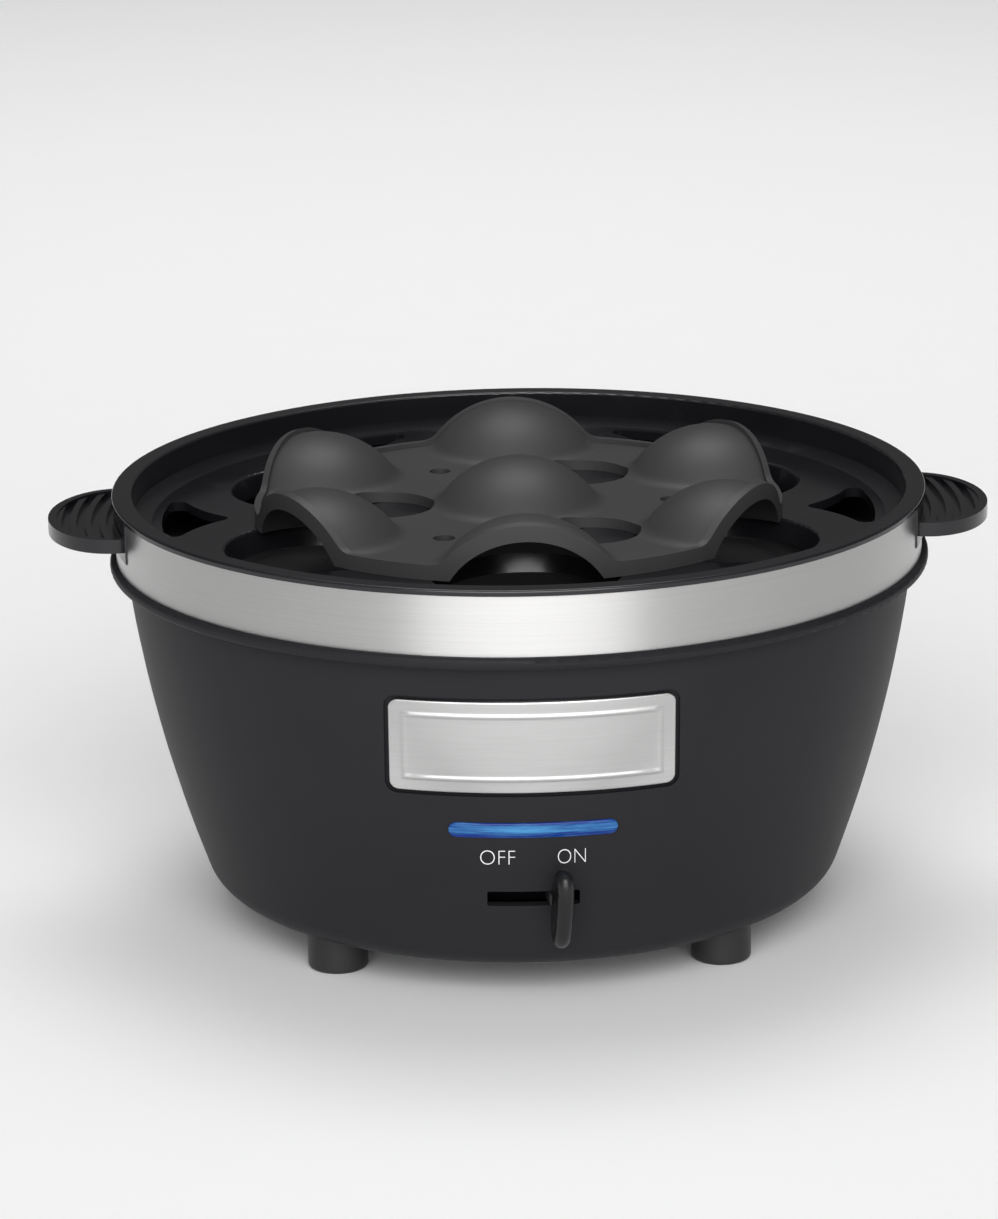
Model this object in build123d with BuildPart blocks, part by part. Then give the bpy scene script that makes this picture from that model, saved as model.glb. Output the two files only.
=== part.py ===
from build123d import *
import os
from math import asin, atan2, cos, degrees, hypot, radians, sin, sqrt, tan

# Electric egg cooker: a round moulded base with a steel band, a lift-out egg tray
# with two side handles, a domed upper tray and an on-off lever on the front.
# Millimetres. The origin is on the table under the middle of the base, +Z is up,
# the front with the lever faces -Y and the handles lie along X.

# Cuts run this far past the faces that they leave.
overrun = 2.0
# Gap left between pieces that move past each other, and between pieces that are fixed.
moving_gap = 0.3
seat_gap = 0.1

# The bowl, from the table upwards
foot_height = 6.5
cover_height = 8.0
corner_height = 6.5
wall_height = 65.7
bead_height = 2.5
band_height = 12.65
rim_thick = 1.25
# The bowl's radii at the band, how the wall leans in and bows out below it, and how the
# corner and the slope of the underside finish it
band_radius = 87.0
band_thick = 0.8
collar_thick = 1.2
bead_proud = 1.4
rim_proud = 0.6
wall_setback = 2.1
wall_taper = 15.5
wall_bow = 1.9
corner_round = 7.5
base_slope = 17
wall = 2.5
bead_round = 1.0

# Notches in the band and its collar, where the tray's handles drop in
notch_width = 50.0
notch_depth = 9.2

# Ledge inside the bowl, and the water dish that is clamped to it
ledge_width = 9.4
ledge_thick = 2.5
ledge_drop = 3.2
gasket_thick = 1.0
gasket_width = 6.6
dish_thick = 1.6
dish_depth = 8.5
dish_taper = 4.5
dish_round = 3.0
dish_flange = 9.6
stud_radius = 2.0
stud_length = 8.6
stud_count = 3
stud_start_angle = 90
nut_flats = 7.0
nut_height = 3.2
element_ring = 50.0
element_tube = 3.2
element_gap_angle = 40
element_pin_length = 14.0
element_pin_radius = 2.2

# Thermostat and fuse under the middle of the dish
thermostat_radius = 8.5
thermostat_height = 9.0
thermostat_flange = 11.5
thermostat_flange_thick = 1.2
thermostat_flange_drop = 2.2
blade_width = 6.3
blade_thick = 0.8
blade_length = 9.0
bracket_reach = 22.0
bracket_width = 12.0
bracket_thick = 1.2
fuse_radius = 2.2
fuse_length = 14.0
fuse_offset = 13.0
clip_thick = 0.8
clip_ear = 3.0

# Front of the bowl: heights are above the underside of the base cover
lever_rise = 19.1
light_rise = 35.4
plate_rise = 43.7
plate_width = 58.6
plate_height = 20.8
plate_corner = 2.0
plate_thick = 1.0
plate_recess = 0.9
plate_gap = 0.6
plate_bead_inset = 3.2
plate_bead_width = 0.8
plate_bead_proud = 0.35
plate_peg_radius = 1.2
plate_peg_spread = 44.0
light_width = 34.5
light_height = 3.4
light_proud = 0.5
light_depth = 4.0
slot_width = 19.0
slot_height = 3.5
slot_corner = 0.5

# Lever and the switch behind it
lever_swing = 10
pivot_depth = 27.0
lever_length = 18.4
lever_depth = 8.0
lever_thick = 3.4
lever_round = 1.3
lever_lift = 1.3
lever_clear = 1.6
stalk_width = 3.0
stalk_height = 2.8
pin_radius = 2.0
pin_gap = 0.05
pin_head_radius = 3.2
pin_head_height = 0.8
hub_radius = 4.2
hub_height = 8.4
rotor_arm = 14.0
rotor_arm_width = 6.0
rotor_arm_height = 7.0
rotor_tail = 8.0
rotor_tail_width = 4.0
socket_depth = 6.0
block_width = 22.0
block_wall = 2.4
block_front = 8.0
block_cavity = 10.6
ear_width = 8.0
ear_thick = 3.0
spring_thick = 0.4
spring_height = 6.0
spring_arch = 1.4
terminal_spread = 12.0

# Light board behind the lens
board_width = 54.0
board_height = 14.0
board_thick = 1.6
board_setback = 8.5
board_screw_spread = 47.0
board_boss_radius = 3.0
led_radius = 1.5
led_clear = 0.5
led_pitch = 11.0
led_count = 3
led_dome_share = 0.9
buzzer_radius = 6.0
buzzer_height = 8.0
buzzer_bevel = 0.8
screw_grip_share = 0.7

# Base cover, feet and fasteners
spigot_height = 3.0
spigot_thick = 1.8
boss_radius = 4.0
boss_height = 21.0
boss_rib = 3.0
boss_angle = 20
screw_radius = 1.7
screw_head_radius = 3.4
screw_head_height = 1.4
screw_length = 11.0
post_radius = 4.0
foot_inset = 0.8
foot_angle = 45
foot_radius = 6.4
foot_round = 1.0
foot_peg_radius = 2.6
foot_peg_grip = 2.0
mains_block_width = 26.0
mains_block_depth = 14.0
mains_block_height = 12.0
mains_block_back = 30.0
mains_screw_count = 3
mains_screw_pitch = 8.0

# Cord outlet in the rear wall
outlet_rise = 10.5
outlet_pad_radius = 9.0
outlet_pad_proud = 0.8
bush_bore = 3.4
bush_wall = 2.1
bush_flange = 2.0
bush_flange_thick = 2.2
bush_inside = 10.0

# Egg tray: seats round a centre seat, vents between them and the wall
tray_wall = 1.4
tray_depth = 7.0
tray_step = 5.6
tray_slope = 4.0
tray_thick = 2.0
rim_round = 0.5
seat_count = 6
seat_start_angle = 30
seat_ring = 50.0
seat_radius = 19.5
seat_skirt_drop = 2.6
seat_skirt_wall = 1.5
seat_taper = 1.6
seat_round = 0.7
vent_margin = 2.2
vent_divide = 4.0
vent_round = 2.0
handle_reach = 14.5
handle_width = 44.0
handle_thick = 3.0
handle_drop = 5.5
handle_lip = 1.8
handle_recess = 1.3
rib_start = 2.6
rib_pitch = 3.2
rib_width = 1.4
rib_rise = 1.0
rib_count = 4

# Upper tray: a thin sheet with a dome over every lower seat
rack_radius = 57.0
rack_thick = 2.2
rack_blend = 4.0
rack_lip = 1.0
rack_lip_width = 1.5
dome_radius = 17.8
dome_rise = 10.0
rack_seat_radius = 10.8
rack_vent_radius = 2.35
rack_vent_ring = 33.0
rack_seat_count = 3
rack_seat_angle = 60
rack_vent_angle = 0

# Heights worked out from the stack
cover_z = foot_height
seam_z = cover_z + cover_height
low_z = cover_z + corner_height
shoulder_z = low_z + wall_height
band_z = shoulder_z + bead_height
rim_z = band_z + band_height
rim_top_z = rim_z + rim_thick
notch_z = rim_z - notch_depth
ledge_top_z = shoulder_z - ledge_drop
ledge_z = ledge_top_z - ledge_thick
dish_flange_z = ledge_top_z + gasket_thick
dish_top_z = dish_flange_z + dish_thick
dish_floor_z = dish_top_z - dish_depth
dish_under_z = dish_floor_z - dish_thick
lever_z = cover_z + lever_rise
light_z = cover_z + light_rise
plate_z = cover_z + plate_rise + plate_height / 2
outlet_z = seam_z + outlet_rise
tray_floor_z = rim_top_z - tray_depth
cover_floor_z = cover_z + wall

# Radii worked out from the band inwards
bead_radius = band_radius + bead_proud
rim_radius = band_radius + rim_proud
collar_radius = band_radius - band_thick - seat_gap
collar_inner = collar_radius - collar_thick
wall_top_radius = band_radius - wall_setback
wall_low_radius = wall_top_radius - wall_taper
tray_radius = collar_inner - moving_gap
tray_inner = tray_radius - tray_wall

# The wall is one arc from the shoulder down to the corner, the corner one arc tangent to
# it, and the underside slopes from there down to the flat that the feet stand under.
wall_chord = hypot(wall_taper, wall_height)
wall_arc = wall_chord**2 / (8 * wall_bow) + wall_bow / 2
wall_lean = atan2(wall_taper, wall_height) + asin(wall_chord / (2 * wall_arc))
wall_centre_x = wall_low_radius - wall_arc * cos(wall_lean)
wall_centre_z = low_z + wall_arc * sin(wall_lean)
corner_centre_x = wall_low_radius - corner_round * cos(wall_lean)
corner_centre_z = low_z + corner_round * sin(wall_lean)
base_lean = radians(base_slope)
corner_end_x = corner_centre_x + corner_round * sin(base_lean)
corner_end_z = corner_centre_z - corner_round * cos(base_lean)
flat_radius = corner_end_x - (corner_end_z - cover_z) / tan(base_lean)


def bowl_radius(z, inset=0):
    """Radius of the bowl's surface at height z, with the surface moved inwards by inset."""
    if z > low_z + inset * sin(wall_lean):
        return wall_centre_x + sqrt((wall_arc - inset) ** 2 - (z - wall_centre_z) ** 2)
    return corner_centre_x + sqrt((corner_round - inset) ** 2 - (z - corner_centre_z) ** 2)


def bowl_section(inset, bottom_z, top_z):
    """Half section of the bowl moved inwards by inset, kept between two heights."""
    floor_z = cover_z + inset
    high_z = band_z + bead_height
    join_x = wall_low_radius - inset * cos(wall_lean)
    join_z = low_z + inset * sin(wall_lean)
    flat_x = flat_radius - inset * tan(base_lean / 2)
    corner_mid = (wall_lean + radians(90) - base_lean) / 2
    corner_r = corner_round - inset
    end_x = corner_centre_x + corner_r * sin(base_lean)
    end_z = corner_centre_z - corner_r * cos(base_lean)
    corner_x = corner_centre_x + corner_r * cos(corner_mid)
    corner_z = corner_centre_z - corner_r * sin(corner_mid)
    middle_z = (join_z + high_z) / 2
    with BuildSketch(Plane.XZ) as section:
        with BuildLine():
            Polyline((0, floor_z), (flat_x, floor_z), (end_x, end_z))
            ThreePointArc((end_x, end_z), (corner_x, corner_z), (join_x, join_z))
            ThreePointArc(
                (join_x, join_z),
                (bowl_radius(middle_z, inset), middle_z),
                (bowl_radius(high_z, inset), high_z),
            )
            Line((bowl_radius(high_z, inset), high_z), (0, high_z))
            Line((0, high_z), (0, floor_z))
        make_face()
        with Locations((0, bottom_z)):
            Rectangle(
                bead_radius, top_z - bottom_z, align=(Align.MIN, Align.MIN), mode=Mode.INTERSECT
            )
    return section.sketch


def skin_patch(outline, outside, inside):
    """The stretch of a shell between two insets of the bowl that lies behind a front outline."""
    with BuildPart() as patch:
        revolve(bowl_section(outside, cover_z, band_z), axis=Axis.Z)
        revolve(bowl_section(inside, cover_z, band_z), axis=Axis.Z, mode=Mode.SUBTRACT)
        extrude(outline, amount=bead_radius + overrun, mode=Mode.INTERSECT)
    return patch.part


def ring(outer, inner, bottom_z, height):
    """A flat ring round the Z axis."""
    with BuildPart() as band:
        with BuildSketch(Plane.XY.offset(bottom_z)):
            Circle(outer)
            Circle(inner, mode=Mode.SUBTRACT)
        extrude(amount=height)
    return band.part


def save(piece, name):
    """Label a finished piece and write its file."""
    piece.part.label = name
    export_step(piece.part, f"parts/{name}.step")


os.makedirs("parts", exist_ok=True)

# Outlines on the front of the bowl, drawn on the XZ plane
with BuildSketch(Plane.XZ) as plate_outline:
    with Locations((0, plate_z)):
        RectangleRounded(plate_width, plate_height, plate_corner)
with BuildSketch(Plane.XZ) as plate_opening:
    with Locations((0, plate_z)):
        RectangleRounded(plate_width + 2 * plate_gap, plate_height + 2 * plate_gap, plate_corner + plate_gap)
with BuildSketch(Plane.XZ) as plate_bead:
    with Locations((0, plate_z)):
        RectangleRounded(
            plate_width - 2 * plate_bead_inset, plate_height - 2 * plate_bead_inset, plate_corner
        )
    offset(amount=-plate_bead_width, mode=Mode.SUBTRACT)
with BuildSketch(Plane.XZ) as light_outline:
    with Locations((0, light_z)):
        SlotOverall(light_width, light_height)
with BuildSketch(Plane.XZ) as light_opening:
    with Locations((0, light_z)):
        SlotOverall(light_width + 2 * seat_gap, light_height + 2 * seat_gap)
with BuildSketch(Plane.XZ) as slot_opening:
    with Locations((0, lever_z)):
        RectangleRounded(slot_width, slot_height, slot_corner)

# Screw columns that stand on the flat of the cover, each with a rib that runs out to the wall
boss_ring = flat_radius - wall * tan(base_lean / 2) - boss_radius - moving_gap
column_angles = (boss_angle, 180 - boss_angle, 180 + boss_angle, 360 - boss_angle)
column_places = [
    (boss_ring * cos(radians(a)), boss_ring * sin(radians(a))) for a in column_angles
]
column_rib_z = seam_z + spigot_height + moving_gap
column_top_z = cover_floor_z + boss_height
with BuildPart() as screw_columns:
    with BuildSketch(Plane.XY.offset(cover_floor_z)):
        with Locations(*column_places):
            Circle(boss_radius)
    extrude(amount=boss_height)
    with BuildSketch(Plane.XY.offset(column_rib_z)):
        for angle in column_angles:
            with Locations(Rotation(0, 0, angle)):
                with Locations((boss_ring, 0)):
                    Rectangle(boss_ring, boss_rib, align=(Align.MIN, Align.CENTER))
    extrude(amount=column_top_z - column_rib_z)
    revolve(bowl_section(wall / 2, cover_z, shoulder_z), axis=Axis.Z, mode=Mode.INTERSECT)
    with Locations(*[(x, y, cover_floor_z) for x, y in column_places]):
        Cylinder(
            screw_radius + pin_gap,
            screw_length,
            align=(Align.CENTER, Align.CENTER, Align.MIN),
            mode=Mode.SUBTRACT,
        )

# Bosses behind the light window that carry the light board
board_y = -(bowl_radius(light_z, wall) - board_setback)
board_screw_places = [(-board_screw_spread / 2, light_z), (board_screw_spread / 2, light_z)]
board_boss_length = sqrt(bowl_radius(light_z, wall) ** 2 - (board_screw_spread / 2) ** 2) + board_y
board_screw_grip = board_boss_length * screw_grip_share
with BuildPart() as board_bosses:
    with BuildSketch(Plane.XZ.offset(-board_y)):
        with Locations(*board_screw_places):
            Circle(board_boss_radius)
    extrude(amount=board_setback + wall)
    revolve(bowl_section(wall / 2, cover_z, band_z), axis=Axis.Z, mode=Mode.INTERSECT)
    with BuildSketch(Plane.XZ.offset(-board_y)):
        with Locations(*board_screw_places):
            Circle(screw_radius + pin_gap)
    extrude(amount=board_screw_grip, mode=Mode.SUBTRACT)

# Places of the dish's studs, which pass through the gasket and the ledge
ledge_outer = bowl_radius(ledge_top_z, wall / 2)
ledge_inner = bowl_radius(ledge_top_z, wall) - ledge_width
stud_ring = ledge_inner + nut_flats / (2 * cos(radians(30))) + seat_gap

# Pegs on the plate's back push through the wall, which curves away at their places
peg_places = [(-plate_peg_spread / 2, plate_z), (plate_peg_spread / 2, plate_z)]
peg_wall_y = sqrt(bowl_radius(plate_z) ** 2 - (plate_peg_spread / 2) ** 2)

# Rear pad that the cord outlet sits in
outlet_pad_y = bowl_radius(outlet_z + outlet_pad_radius) + outlet_pad_proud
bush_radius = bush_bore + bush_wall

with BuildPart() as bead:
    add(ring(bead_radius, bowl_radius(band_z, wall), shoulder_z, bead_height))
    bead_edges = bead.edges().filter_by(GeomType.CIRCLE).group_by(SortBy.RADIUS)[-1]
    fillet(bead_edges, radius=bead_round)

with BuildPart() as housing:
    # Bowl, with the flat pad for the cord outlet
    revolve(bowl_section(0, seam_z, band_z), axis=Axis.Z)
    with BuildSketch(Plane.XZ):
        with Locations((0, outlet_z)):
            Circle(outlet_pad_radius)
    extrude(amount=-outlet_pad_y)
    revolve(bowl_section(wall, cover_z, band_z + bead_height), axis=Axis.Z, mode=Mode.SUBTRACT)
    # Bead that the steel band stands on, and the collar behind the band
    add(bead.part)
    add(ring(collar_radius, collar_inner, shoulder_z, rim_z - shoulder_z))
    # Ledge for the water dish
    add(ring(ledge_outer, ledge_inner, ledge_z, ledge_thick))
    with PolarLocations(stud_ring, stud_count, start_angle=stud_start_angle):
        with Locations((0, 0, ledge_z)):
            Cylinder(stud_radius + moving_gap, 2 * ledge_thick + overrun, mode=Mode.SUBTRACT)
    # Columns and bosses inside
    add(screw_columns.part)
    add(board_bosses.part)
    # Notches for the tray's handles
    with Locations((0, 0, notch_z)):
        Box(
            2 * bead_radius + overrun,
            notch_width,
            notch_depth + overrun,
            align=(Align.CENTER, Align.CENTER, Align.MIN),
            mode=Mode.SUBTRACT,
        )
    # Front openings: plate recess with its peg holes, light window and lever slot
    add(skin_patch(plate_opening.sketch, -overrun, plate_recess), mode=Mode.SUBTRACT)
    with BuildSketch(Plane.XZ):
        with Locations(*peg_places):
            Circle(plate_peg_radius + seat_gap)
    extrude(amount=bead_radius, mode=Mode.SUBTRACT)
    extrude(light_opening.sketch, amount=bead_radius, mode=Mode.SUBTRACT)
    extrude(slot_opening.sketch, amount=bead_radius, mode=Mode.SUBTRACT)
    # Hole for the cord outlet's bush
    with BuildSketch(Plane.XZ):
        with Locations((0, outlet_z)):
            Circle(bush_radius + seat_gap)
    extrude(amount=-(outlet_pad_y + overrun), mode=Mode.SUBTRACT)
save(housing, "housing")

with BuildPart() as steel_band:
    add(ring(band_radius, band_radius - band_thick, band_z, band_height))
    with Locations((0, 0, notch_z)):
        Box(
            2 * bead_radius + overrun,
            notch_width,
            notch_depth + overrun,
            align=(Align.CENTER, Align.CENTER, Align.MIN),
            mode=Mode.SUBTRACT,
        )
save(steel_band, "steel_band")

with BuildPart() as plate_pegs:
    with BuildSketch(Plane.XZ.offset(peg_wall_y - 2 * wall)):
        with Locations(*peg_places):
            Circle(plate_peg_radius)
    extrude(amount=2 * wall)
    revolve(bowl_section(plate_recess, cover_z, band_z), axis=Axis.Z, mode=Mode.INTERSECT)
with BuildPart() as nameplate:
    add(skin_patch(plate_outline.sketch, plate_recess - plate_thick, plate_recess))
    add(skin_patch(plate_bead.sketch, plate_recess - plate_thick - plate_bead_proud, plate_recess))
    add(plate_pegs.part)
save(nameplate, "nameplate")

with BuildPart() as indicator_lens:
    add(skin_patch(light_outline.sketch, -light_proud, light_depth))
save(indicator_lens, "indicator_lens")

# Base cover: the bottom of the bowl, with a spigot that locates it in the housing,
# two posts for the switch, and screw holes with sunk places for the heads
spigot_radius = bowl_radius(seam_z, wall) - moving_gap
spigot_z = cover_floor_z + wall / 2
switch_y = -(bowl_radius(lever_z) - pivot_depth)
block_height = hub_height + 2 * moving_gap + 2 * block_wall
block_bottom_z = lever_z - block_height / 2
post_x = block_width / 2 + ear_width / 2
foot_ring = flat_radius - foot_inset
foot_x = foot_ring * cos(radians(foot_angle))
foot_y = foot_ring * sin(radians(foot_angle))
foot_places = {
    "foot_front_left": (-foot_x, -foot_y),
    "foot_front_right": (foot_x, -foot_y),
    "foot_rear_left": (-foot_x, foot_y),
    "foot_rear_right": (foot_x, foot_y),
}
with BuildPart() as base_cover:
    revolve(bowl_section(0, cover_z, seam_z), axis=Axis.Z)
    revolve(bowl_section(wall, cover_floor_z, seam_z + overrun), axis=Axis.Z, mode=Mode.SUBTRACT)
    add(
        ring(
            spigot_radius,
            spigot_radius - spigot_thick,
            spigot_z,
            seam_z + spigot_height - spigot_z,
        )
    )
    with BuildSketch(Plane.XY.offset(cover_floor_z)):
        with Locations((-post_x, switch_y), (post_x, switch_y)):
            Circle(post_radius)
    extrude(amount=block_bottom_z - cover_floor_z)
    with BuildSketch(Plane.XY.offset(block_bottom_z)):
        with Locations((-post_x, switch_y), (post_x, switch_y)):
            Circle(screw_radius + pin_gap)
    extrude(amount=-(block_bottom_z - cover_floor_z) + wall, mode=Mode.SUBTRACT)
    # Screw holes with room for the heads below
    with BuildSketch(Plane.XY.offset(cover_z - overrun)):
        with Locations(*column_places):
            Circle(screw_radius + pin_gap)
    extrude(amount=wall + 2 * overrun, mode=Mode.SUBTRACT)
    with BuildSketch(Plane.XY.offset(cover_z - overrun)):
        with Locations(*column_places):
            Circle(screw_head_radius + seat_gap)
    extrude(amount=screw_head_height + seat_gap + overrun, mode=Mode.SUBTRACT)
    # Holes for the feet's pegs
    with BuildSketch(Plane.XY.offset(cover_z - overrun)):
        with Locations(*foot_places.values()):
            Circle(foot_peg_radius + seat_gap)
    extrude(amount=wall + 2 * overrun, mode=Mode.SUBTRACT)
save(base_cover, "base_cover")

for name, (x, y) in foot_places.items():
    with BuildPart() as foot:
        with BuildSketch(Plane.XY):
            with Locations((x, y)):
                Circle(foot_radius)
        extrude(amount=seam_z)
        fillet(foot.edges().group_by(Axis.Z)[0], radius=foot_round)
        revolve(bowl_section(-seat_gap / 2, cover_z - seat_gap, band_z), axis=Axis.Z, mode=Mode.SUBTRACT)
        with BuildSketch(Plane.XY.offset(foot_height / 2)):
            with Locations((x, y)):
                Circle(foot_peg_radius)
        extrude(amount=foot_height / 2 + wall + foot_peg_grip)
    save(foot, name)

with BuildPart() as cover_screws:
    with BuildSketch(Plane.XY.offset(cover_z + seat_gap)):
        with Locations(*column_places):
            Circle(screw_head_radius)
    extrude(amount=screw_head_height - seat_gap)
    with BuildSketch(Plane.XY.offset(cover_z + screw_head_height)):
        with Locations(*column_places):
            Circle(screw_radius)
    extrude(amount=screw_length)
save(cover_screws, "cover_screws")

# Water dish, its gasket and nuts
gasket_outer = bowl_radius(dish_flange_z, wall) - moving_gap
dish_radius = gasket_outer
dish_mouth = dish_radius - dish_flange
stud_places = PolarLocations(stud_ring, stud_count, start_angle=stud_start_angle)
with BuildPart() as plate_gasket:
    add(ring(gasket_outer, gasket_outer - gasket_width, ledge_top_z, gasket_thick))
    with stud_places:
        with Locations((0, 0, ledge_top_z)):
            Cylinder(stud_radius + seat_gap, 2 * gasket_thick + overrun, mode=Mode.SUBTRACT)
save(plate_gasket, "plate_gasket")

with BuildPart() as heating_plate:
    with BuildSketch(Plane.XZ):
        with BuildLine():
            inside = FilletPolyline(
                (0, dish_floor_z),
                (dish_mouth - dish_taper, dish_floor_z),
                (dish_mouth, dish_top_z),
                (dish_radius, dish_top_z),
                radius=dish_round,
            )
            under = FilletPolyline(
                (0, dish_under_z),
                (dish_mouth - dish_taper + dish_thick / 2, dish_under_z),
                (dish_mouth + dish_thick / 2, dish_flange_z),
                (dish_radius, dish_flange_z),
                radius=dish_round,
            )
            Line(inside @ 0, under @ 0)
            Line(inside @ 1, under @ 1)
        make_face()
    revolve(axis=Axis.Z)
    # Studs: three in the flange, two in the floor for the thermostat's bracket
    with BuildSketch(Plane.XY.offset(dish_flange_z)):
        with stud_places:
            Circle(stud_radius)
    extrude(amount=-stud_length)
    with BuildSketch(Plane.XY.offset(dish_under_z)):
        with Locations((-bracket_reach, 0), (bracket_reach, 0)):
            Circle(stud_radius)
    extrude(amount=-stud_length)
save(heating_plate, "heating_plate")

with BuildPart() as plate_nuts:
    with BuildSketch(Plane.XY.offset(ledge_z)):
        with stud_places:
            RegularPolygon(nut_flats / 2, 6, major_radius=False)
            Circle(stud_radius + pin_gap, mode=Mode.SUBTRACT)
    extrude(amount=-nut_height)
save(plate_nuts, "plate_nuts")

element_z = dish_under_z - seat_gap - element_tube
element_ends = [90 + element_gap_angle / 2, 90 - element_gap_angle / 2]
end_places = [
    (element_ring * cos(radians(a)), element_ring * sin(radians(a)), element_z) for a in element_ends
]
with BuildPart() as heating_element:
    with BuildSketch(Plane.XZ.rotated((0, 0, element_ends[0]))):
        with Locations((element_ring, element_z)):
            Circle(element_tube)
    revolve(axis=Axis.Z, revolution_arc=360 - element_gap_angle)
    with Locations(*end_places):
        Sphere(element_tube)
        Cylinder(
            element_pin_radius, element_pin_length, align=(Align.CENTER, Align.CENTER, Align.MAX)
        )
save(heating_element, "heating_element")

# Thermostat, pressed to the dish by its bracket
thermostat_z = dish_under_z - seat_gap
flange_z = thermostat_z - thermostat_flange_drop - thermostat_flange_thick
bracket_z = flange_z - bracket_thick
with BuildPart() as thermostat:
    with BuildSketch(Plane.XY.offset(thermostat_z)):
        Circle(thermostat_radius)
    extrude(amount=-thermostat_height)
    add(ring(thermostat_flange, thermostat_radius / 2, flange_z, thermostat_flange_thick))
    with Locations(
        (-thermostat_radius / 2, 0, thermostat_z - thermostat_height),
        (thermostat_radius / 2, 0, thermostat_z - thermostat_height),
    ):
        Box(blade_thick, blade_width, blade_length, align=(Align.CENTER, Align.CENTER, Align.MAX))
save(thermostat, "thermostat")

with BuildPart() as thermostat_bracket:
    with BuildSketch(Plane.XY.offset(bracket_z)):
        SlotCenterToCenter(2 * bracket_reach, bracket_width)
        Circle(thermostat_radius + bracket_width / 4)
        Circle(thermostat_radius + moving_gap, mode=Mode.SUBTRACT)
        with Locations((-bracket_reach, 0), (bracket_reach, 0)):
            Circle(stud_radius + seat_gap, mode=Mode.SUBTRACT)
    extrude(amount=bracket_thick)
save(thermostat_bracket, "thermostat_bracket")

# Fuse beside the thermostat, in a clip under one end of the bracket
clip_z = bracket_z - clip_thick
fuse_z = bracket_z + fuse_radius + seat_gap
ear_y = fuse_radius + seat_gap + clip_thick / 2
with BuildPart() as fuse_clip:
    with BuildSketch(Plane.XY.offset(clip_z)):
        with Locations((bracket_reach, fuse_offset / 2)):
            SlotOverall(fuse_offset + bracket_width + 2 * clip_ear, bracket_width, rotation=90)
        with Locations((bracket_reach, 0)):
            Circle(stud_radius + seat_gap, mode=Mode.SUBTRACT)
    extrude(amount=clip_thick)
    with Locations(
        (bracket_reach, fuse_offset - ear_y, bracket_z),
        (bracket_reach, fuse_offset + ear_y, bracket_z),
    ):
        Box(clip_ear, clip_thick, clip_ear, align=(Align.CENTER, Align.CENTER, Align.MIN))
save(fuse_clip, "fuse_clip")

with BuildPart() as thermal_fuse:
    with BuildSketch(Plane.YZ.offset(bracket_reach - fuse_length / 2)):
        with Locations((fuse_offset, fuse_z)):
            Circle(fuse_radius)
    extrude(amount=fuse_length)
    chamfer(thermal_fuse.edges().filter_by(GeomType.CIRCLE), length=fuse_radius / 4)
save(thermal_fuse, "thermal_fuse")

with BuildPart() as bracket_nuts:
    with BuildSketch(Plane.XY.offset(bracket_z)):
        with Locations((-bracket_reach, 0)):
            RegularPolygon(nut_flats / 2, 6, major_radius=False)
            Circle(stud_radius + pin_gap, mode=Mode.SUBTRACT)
    extrude(amount=-nut_height)
    with BuildSketch(Plane.XY.offset(clip_z)):
        with Locations((bracket_reach, 0)):
            RegularPolygon(nut_flats / 2, 6, major_radius=False)
            Circle(stud_radius + pin_gap, mode=Mode.SUBTRACT)
    extrude(amount=-nut_height)
save(bracket_nuts, "bracket_nuts")

# Switch: a block open to the front, with a rotor on an upright pin
block_back_y = switch_y + block_cavity + block_wall
block_front_y = switch_y - block_front
cavity_width = block_width - 2 * block_wall
with BuildPart() as switch_block:
    with BuildSketch(Plane.XY.offset(block_bottom_z)):
        with Locations((0, block_front_y)):
            Rectangle(block_width, block_back_y - block_front_y, align=(Align.CENTER, Align.MIN))
    extrude(amount=block_height)
    with BuildSketch(Plane.XY.offset(block_bottom_z)):
        with Locations((0, switch_y)):
            SlotCenterToCenter(2 * post_x, 2 * post_radius)
    extrude(amount=ear_thick)
    with BuildSketch(Plane.XY.offset(block_bottom_z + block_wall)):
        with Locations((0, block_front_y - overrun)):
            Rectangle(
                cavity_width,
                block_front + block_cavity + overrun,
                align=(Align.CENTER, Align.MIN),
            )
    extrude(amount=block_height - 2 * block_wall, mode=Mode.SUBTRACT)
    with Locations((0, switch_y, lever_z)):
        Cylinder(pin_radius + pin_gap, block_height + overrun, mode=Mode.SUBTRACT)
    with Locations((-post_x, switch_y, block_bottom_z), (post_x, switch_y, block_bottom_z)):
        Cylinder(screw_radius + seat_gap, 2 * ear_thick + overrun, mode=Mode.SUBTRACT)
save(switch_block, "switch_block")

with BuildPart() as switch_screws:
    with BuildSketch(Plane.XY.offset(block_bottom_z + ear_thick)):
        with Locations((-post_x, switch_y), (post_x, switch_y)):
            Circle(screw_head_radius)
    extrude(amount=screw_head_height)
    with BuildSketch(Plane.XY.offset(block_bottom_z + ear_thick)):
        with Locations((-post_x, switch_y), (post_x, switch_y)):
            Circle(screw_radius)
    extrude(amount=-(ear_thick + screw_length / 2))
save(switch_screws, "switch_screws")

with BuildPart() as lever_pivot_pin:
    with BuildSketch(Plane.XY.offset(block_bottom_z)):
        with Locations((0, switch_y)):
            Circle(pin_radius)
    extrude(amount=block_height)
    with BuildSketch(Plane.XY.offset(block_bottom_z + block_height)):
        with Locations((0, switch_y)):
            Circle(pin_head_radius)
    extrude(amount=pin_head_height)
save(lever_pivot_pin, "lever_pivot_pin")

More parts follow.
